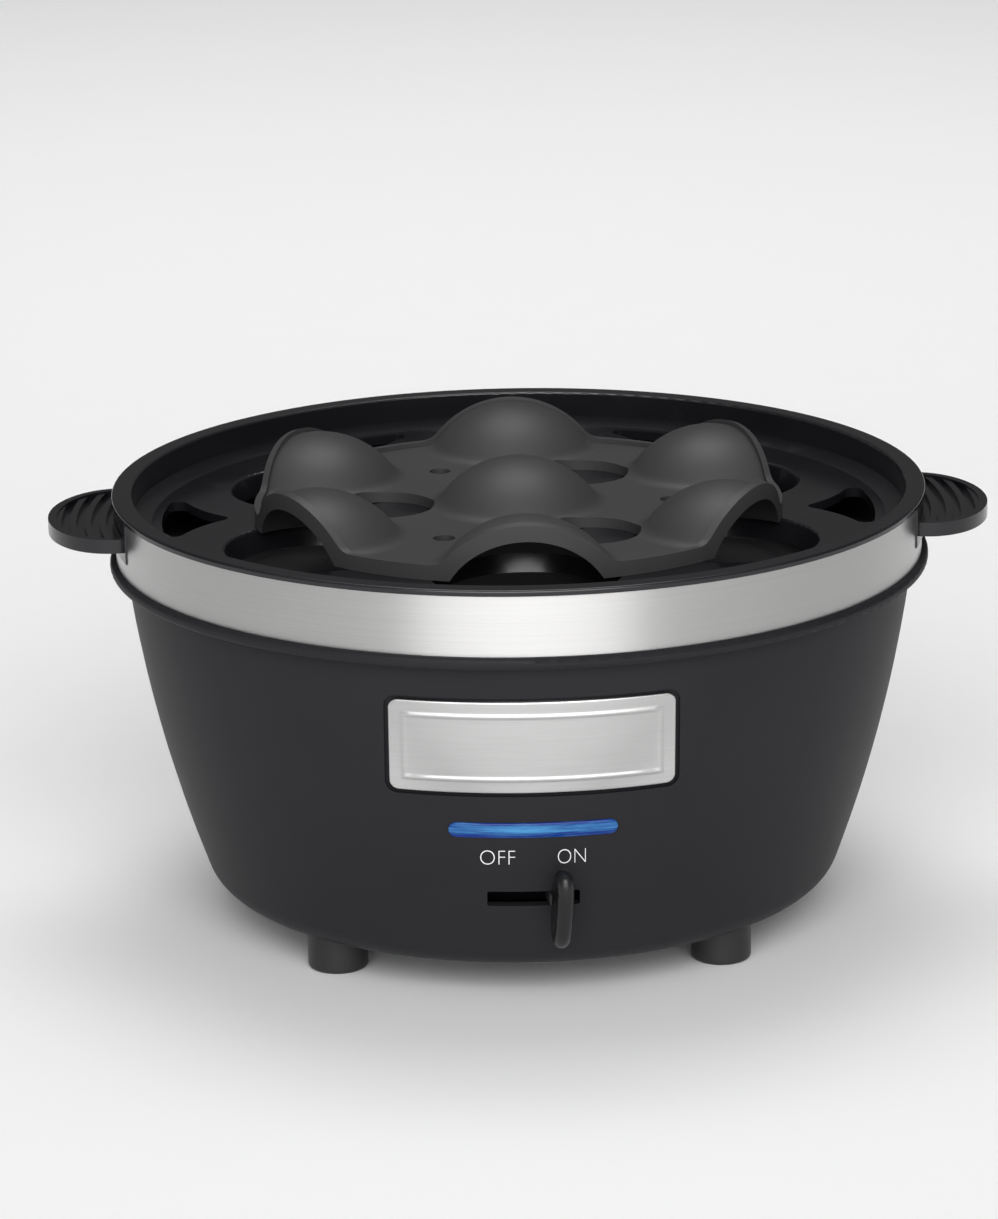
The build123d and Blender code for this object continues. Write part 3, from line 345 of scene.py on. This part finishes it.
def on_wall(x, z, proud):
    """Points on the front of the bowl: at height z the wall's radius is the arc centre's
    offset plus sqrt(arc^2 - (z - centre)^2); the point at x is then moved out by proud
    along the normal, which points from the arc's centre through the wall."""
    up = z - arc_middle[1]
    across = np.sqrt(arc**2 - up**2)
    radius = arc_middle[0] + across
    deep = np.sqrt(radius**2 - x**2)
    normal = np.stack([x / radius * across / arc, -deep / radius * across / arc, up / arc], -1)
    return np.stack([x, -deep, z], -1) + np.asarray(proud)[..., None] * normal


print("wall: arc radius", round(float(arc), 4), "centred at", arc_middle.round(4))

# %% [markdown]
# ## Making meshes from whole arrays
#
# Each new piece is a set of rings, one inside the other. The faces between neighbouring
# rings are worked out from the ring and point numbers in one go, and the points and faces
# are handed to the mesh. The object stays at the origin, so its pattern and its place can't
# drift apart.

# %% Mesh helpers
weld = 1e-6


def finished(name, mesh, material, body):
    """Links a mesh as a piece of the object that rides on a body."""
    mesh.materials.clear()
    mesh.materials.append(material)
    piece = bpy.data.objects.new(name, mesh)
    bpy.context.scene.collection.objects.link(piece)
    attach(piece, body)
    return piece


def rounded_outline(half_wide, half_high, corner, arc_steps=10, side_steps=30):
    """Closed rounded rectangle, counter-clockwise from the right: four quarter circles of
    radius corner joined by straight runs, each run and arc with a fixed number of points."""
    quarter = np.linspace(0, np.pi / 2, arc_steps)
    arcs = []
    for turned, (sx, sz) in enumerate(((1, 1), (-1, 1), (-1, -1), (1, -1))):
        angle = quarter + turned * np.pi / 2
        arcs.append(np.stack([sx * (half_wide - corner) + corner * np.cos(angle),
                              sz * (half_high - corner) + corner * np.sin(angle)], -1))
    runs = [np.linspace(arcs[i][-1], arcs[(i + 1) % 4][0], side_steps)[1:-1] for i in range(4)]
    return np.concatenate([np.concatenate([arcs[i], runs[i]]) for i in range(4)])


def ring_form(name, points, material, body):
    """A closed smooth mesh from points[ring, point, xyz]: quads join neighbouring rings. The
    first and last ring have shrunk to a line, whose points meet in pairs and are joined."""
    rows, columns = points.shape[:2]
    row, column = np.meshgrid(np.arange(rows - 1), np.arange(columns), indexing="ij")
    beside = (column + 1) % columns
    corners = np.stack([row * columns + column, row * columns + beside,
                        (row + 1) * columns + beside, (row + 1) * columns + column], -1).reshape(-1, 4)
    mesh = bpy.data.meshes.new(name)
    mesh.from_pydata(points.reshape(-1, 3).tolist(), [], corners.tolist())
    joined = bmesh.new()
    joined.from_mesh(mesh)
    bmesh.ops.remove_doubles(joined, verts=joined.verts, dist=weld)
    bmesh.ops.dissolve_degenerate(joined, edges=joined.edges, dist=weld)
    bmesh.ops.recalc_face_normals(joined, faces=joined.faces)
    joined.to_mesh(mesh)
    joined.free()
    mesh.shade_smooth()
    return finished(name, mesh, material, body)


def wrapped_form(name, half_wide, half_high, corner, middle_z, section, material, slot):
    """A closed form on the wall, from section[ring, (inset, proud)]: each ring is the rounded
    outline moved in by its inset, lying proud of the wall by its height."""
    rings = []
    for inset, proud in section:
        flat = rounded_outline(half_wide - inset, half_high - inset, max(corner - inset, 0.0))
        rings.append(on_wall(flat[:, 0], middle_z + flat[:, 1], np.full(len(flat), proud)))
    return ring_form(name, np.array(rings), material, "base")


# %% [markdown]
# ## Name plate and light bar
#
# Both solids have sharp edges, but a plate stamped from sheet has a rolled edge and its bead
# a soft swell, and a moulded light bar is crowned. Those edges carry the small highlights
# that make metal and plastic look real. Each form is given by its section: how far in from
# the outline, and how far proud of the wall, from the middle of the back round the edge to
# the middle of the front.

# %% Plate and bar
quarter_round = np.linspace(0, np.pi / 2, 7)
rolled_in, rolled_up = 1 - np.cos(quarter_round), np.sin(quarter_round)
plate_half, plate_middle_z, plate_corner = np.array([0.0291, 0.0102]), 0.0606, 0.002
plate_edge, plate_face, plate_back = 0.0004, 0.0001, -0.0008
back_insets = np.array([plate_half[1], 0.004, 0.0006, 0.0])
margin_from, margin_to, field_from = 0.0007, 0.0021, 0.0045
bead_from, bead_to, bead_rise = 0.0024, 0.004, 0.00022
swell = np.linspace(bead_from, bead_to, 15)
bead = bead_rise * np.sin(np.pi * (swell - swell[0]) / np.ptp(swell)) ** 2
plate_section = np.concatenate([
    np.stack([back_insets, np.full(4, plate_back)], -1),
    np.stack([plate_edge * rolled_in, plate_face - plate_edge * (1 - rolled_up)], -1),
    np.stack([np.linspace(margin_from, margin_to, 4), np.full(4, plate_face)], -1),
    np.stack([swell, plate_face + bead], -1),
    np.stack([np.linspace(field_from, plate_half[1], 6), np.full(6, plate_face)], -1),
])
plate = wrapped_form("pressed_plate", *plate_half, plate_corner, plate_middle_z,
                     plate_section, plate_steel, "band_steel")
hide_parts("nameplate")

bar_half, bar_middle_z = np.array([0.01725, 0.0017]), 0.0419
bar_back, bar_inset, bar_depths = -0.004, 0.0005, (-0.002, -0.0004)
bar_edge, bar_crown = 0.0001, 0.0005
bar_section = np.concatenate([
    [(bar_half[1], bar_back), (bar_inset, bar_back), (0.0, bar_back)],
    [(0.0, depth) for depth in bar_depths],
    np.stack([bar_half[1] * rolled_in, bar_edge + (bar_crown - bar_edge) * rolled_up], -1),
])
bar = wrapped_form("crowned_light", *bar_half, bar_half[1], bar_middle_z,
                   bar_section, light_blue, "lens_blue")
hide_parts("indicator_lens")
print("points:", len(plate.data.vertices), len(bar.data.vertices))

# %% [markdown]
# ## The finger lever
#
# The lever's solid is a slot-shaped fin with a straight front. A finger lever bulges to the
# finger, and its edge is half round, so the light runs down it as one long streak. Its side
# outline is a superellipse, an ellipse with fuller shoulders, set along the lean of the wall
# and turned about the switch's pin to where the lever rests.

# %% Lever
swing = radians(10)
lever_z, pivot_in = 0.0256, 0.027
lever_lean = np.arcsin((arc_middle[1] - lever_z) / arc)
pivot_y = on_wall(np.array([0.0]), np.array([lever_z]), np.array([0.0]))[0, 1] + pivot_in
fin_half, fin_thick, fin_flat = np.array([0.0092, 0.004]), 0.0017, 0.003
fin_clear, fin_lift = 0.0016, 0.0013
outward = np.array([np.cos(lever_lean), -np.sin(lever_lean)])
upward = np.array([np.sin(lever_lean), np.cos(lever_lean)])
fin_middle = np.array([pivot_in, 0.0]) + (fin_clear + fin_half[1]) * outward + fin_lift * upward


def turned(out, up, across):
    """Points at a distance out from the pin, a height up over it and across the lever's
    plane: x = out sin s - across cos s, y = pin - out cos s - across sin s, with swing s."""
    return np.stack([out * np.sin(swing) - across * np.cos(swing),
                     pivot_y - out * np.cos(swing) - across * np.sin(swing), lever_z + up], -1)


def superellipse(half_long, half_wide, fullness=2.6, count=96):
    """Closed outline |a / half_long|^n + |b / half_wide|^n = 1, with fullness n."""
    angle = np.linspace(0, 2 * np.pi, count, endpoint=False)
    power = 2 / fullness
    return np.stack([half_long * np.sign(np.cos(angle)) * np.abs(np.cos(angle)) ** power,
                     half_wide * np.sign(np.sin(angle)) * np.abs(np.sin(angle)) ** power], -1)


half_round = np.linspace(0, np.pi, 15)
fin_section = np.concatenate([
    [(fin_half[1], -fin_thick), (fin_flat, -fin_thick)],
    np.stack([fin_thick * (1 - np.sin(half_round)), -fin_thick * np.cos(half_round)], -1),
    [(fin_flat, fin_thick), (fin_half[1], fin_thick)],
])
fin_rings = []
for inset, across in fin_section:
    outline = superellipse(*(fin_half - inset))
    side = fin_middle + outline[:, :1] * upward + outline[:, 1:] * outward
    fin_rings.append(turned(side[:, 0], side[:, 1], across))
lever = ring_form("finger_lever", np.array(fin_rings), lever_gloss, "lever")
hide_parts("switch_lever")

stalk_half, stalk_from, stalk_round = np.array([0.0015, 0.0014]), 0.0081, 0.0003
stalk_rings = []
for out, share in ((stalk_from, 0.0), (stalk_from, 1.0), (fin_middle[0], 1.0), (fin_middle[0], 0.0)):
    outline = rounded_outline(*stalk_half, stalk_round, 4, 4) * (1.0, share)
    stalk_rings.append(turned(np.full(len(outline), out), outline[:, 1], outline[:, 0]))
stalk = ring_form("lever_stalk", np.array(stalk_rings), lever_gloss, "lever")
print("lever points:", len(lever.data.vertices), len(stalk.data.vertices))

# %% [markdown]
# ## Printed words
#
# OFF and ON are thin white pad-printed capitals over the ends of the slot. Text could stay
# a text object, but then it would be flat; turned into a mesh first, its points can be
# wrapped onto the wall, and its depth becomes the thickness of the ink.

# %% OFF and ON
letter_depth, letter_thin = 0.02, 0.027
ink_sunk, ink_thick = 0.00012, 0.00018
word_high, word_base_z = 0.0033, 0.0339
ink_white = plastic("ink_white", (0.78, 0.78, 0.78), 0.5, 0.1, 0.12, 4000, 0.1, 0.4)


def printed_word(name, word, middle_x, wide):
    """The word's outline stretched to its width and height, and wrapped onto the wall."""
    letters = bpy.data.curves.new(name, "FONT")
    letters.body, letters.extrude, letters.offset = word, letter_depth, -letter_thin
    sketch = bpy.data.objects.new(name + "_sketch", letters)
    bpy.context.scene.collection.objects.link(sketch)
    shown = sketch.evaluated_get(bpy.context.evaluated_depsgraph_get())
    mesh = bpy.data.meshes.new_from_object(shown)
    bpy.data.objects.remove(sketch)
    flat = np.empty(len(mesh.vertices) * 3, np.float32)
    mesh.vertices.foreach_get("co", flat)
    flat = flat.reshape(-1, 3)
    low, high_corner = flat.min(0), flat.max(0)
    share = (flat - low) / (high_corner - low)
    x = middle_x + (share[:, 0] - 0.5) * wide
    z = word_base_z + share[:, 1] * word_high
    proud = -ink_sunk + share[:, 2] * ink_thick
    mesh.vertices.foreach_set("co", on_wall(x, z, proud).astype(np.float32).ravel())
    mesh.update()
    return finished(name, mesh, ink_white, "base")


words = [printed_word("word_off", "OFF", middle_x=-0.0073, wide=0.0071),
         printed_word("word_on", "ON", middle_x=0.0078, wide=0.0057)]
print("words:", [len(w.data.vertices) for w in words])

# %% [markdown]
# ## Finishes on the solids
#
# The solids already have the right shape. Each one gets the finish of the part it is.

# %% Dress the solids
worn_by = {
    bowl_satin: "housing base_cover switch_block",
    tray_gloss: "egg_tray",
    lever_gloss: "switch_lever lever_rotor",
    rack_matte: "upper_tray",
    foot_rubber: "foot_front_left foot_front_right foot_rear_left foot_rear_right cord_bush",
    band_steel: "steel_band",
    plate_steel: "nameplate",
    light_blue: "indicator_lens",
    dish_coat: "heating_plate",
    bare_steel: "cover_screws plate_nuts thermostat_bracket bracket_nuts fuse_clip switch_screws "
                "lever_pivot_pin board_screws",
    heater_steel: "heating_element",
    contact_brass: "detent_spring switch_terminals terminal_screws",
    seal_silicone: "plate_gasket",
    block_plastic: "thermostat thermal_fuse terminal_block",
    board_lacquer: "control_board",
    lamp_clear: "indicator_leds",
    buzzer_black: "buzzer",
}
for material, names in worn_by.items():
    for name in names.split():
        parts[name].data.materials.clear()
        parts[name].data.materials.append(material)
bare = set(parts) - set(" ".join(worn_by.values()).split())
print("dressed:", len(parts) - len(bare), "left bare:", sorted(bare))

# %% [markdown]
# ## The studio
#
# A pale floor, a grey room and four soft lamps. The room is brighter in front than behind.
# The key lamp stands high in front, and a low one in front of it gives the steel band its
# bright middle. One overhead draws glints on the trays and one behind keeps the far floor
# pale. The floor could be made white by more light, but then it would clip and the object
# would wash out, so the lamps stay just below the level at which the floor turns white
# in this picture.

# %% Floor
floor_pale, tree, shader, place = new_finish("floor_pale")
paper = place_group(tree, moulded, Place=place, Colour=(0.93, 0.93, 0.93, 1), Roughness=0.8, Spread=0.05,
                    Mottle=0.01, Grain=300.0)
tree.links.new(paper.outputs["Colour"], shader.inputs["Base Color"])
tree.links.new(paper.outputs["Roughness"], shader.inputs["Roughness"])
shader.inputs["Specular IOR Level"].default_value = 0.1
floor_reach, floor_points = 4.0, 64
angle = np.linspace(0, 2 * np.pi, floor_points, endpoint=False)
disc = np.stack([floor_reach * np.cos(angle), floor_reach * np.sin(angle), 0 * angle], -1)
floor_mesh = bpy.data.meshes.new("floor")
floor_mesh.from_pydata(disc.tolist(), [], [list(range(floor_points))])
floor_mesh.materials.append(floor_pale)
floor = bpy.data.objects.new("floor", floor_mesh)
bpy.context.scene.collection.objects.link(floor)

# %% Room and lamps
room = bpy.data.worlds.new("room")
bpy.context.scene.world = room
room.use_nodes = True
tree = room.node_tree
front_y, rear_y, front_level, rear_level = -1.0, 0.1, 0.7, 0.1
direction = tree.nodes.new("ShaderNodeTexCoord").outputs["Generated"]
toward = add_node(tree, "ShaderNodeSeparateXYZ", Vector=direction)
level = add_node(tree, "ShaderNodeMapRange", Value=toward.outputs["Y"], From_Min=front_y, From_Max=rear_y,
                 To_Min=front_level, To_Max=rear_level)
tree.links.new(level.outputs[0], tree.nodes["Background"].inputs["Strength"])
tree.nodes["Background"].inputs["Color"].default_value = (1, 1, 1, 1)


def soft_lamp(name, at, look_at, wide, high, watts, spread):
    """A rectangular soft lamp that faces a point, with a grid in front that keeps its light
    within an angle, and that isn't seen itself."""
    light = bpy.data.lights.new(name, "AREA")
    light.shape, light.size, light.size_y, light.energy = "RECTANGLE", wide, high, watts
    light.spread = radians(spread)
    lamp = bpy.data.objects.new(name, light)
    lamp.location = at
    lamp.rotation_euler = (Vector(look_at) - Vector(at)).to_track_quat("-Z", "Y").to_euler()
    lamp.visible_camera = False
    bpy.context.scene.collection.objects.link(lamp)


heart = (0, 0, 0.05)
soft_lamp("key", (0, -1.9, 1.3), heart, wide=2.0, high=1.0, watts=15, spread=120)
soft_lamp("front", (0, -1.3, 0.25), heart, wide=1.5, high=0.4, watts=3.5, spread=140)
soft_lamp("overhead", (0, 0.45, 2.0), (0, 0.45, 0), wide=1.1, high=1.1, watts=11, spread=180)
soft_lamp("back", (0, 0.95, 1.5), (0, 0.95, 0), wide=1.4, high=1.2, watts=3.2, spread=100)
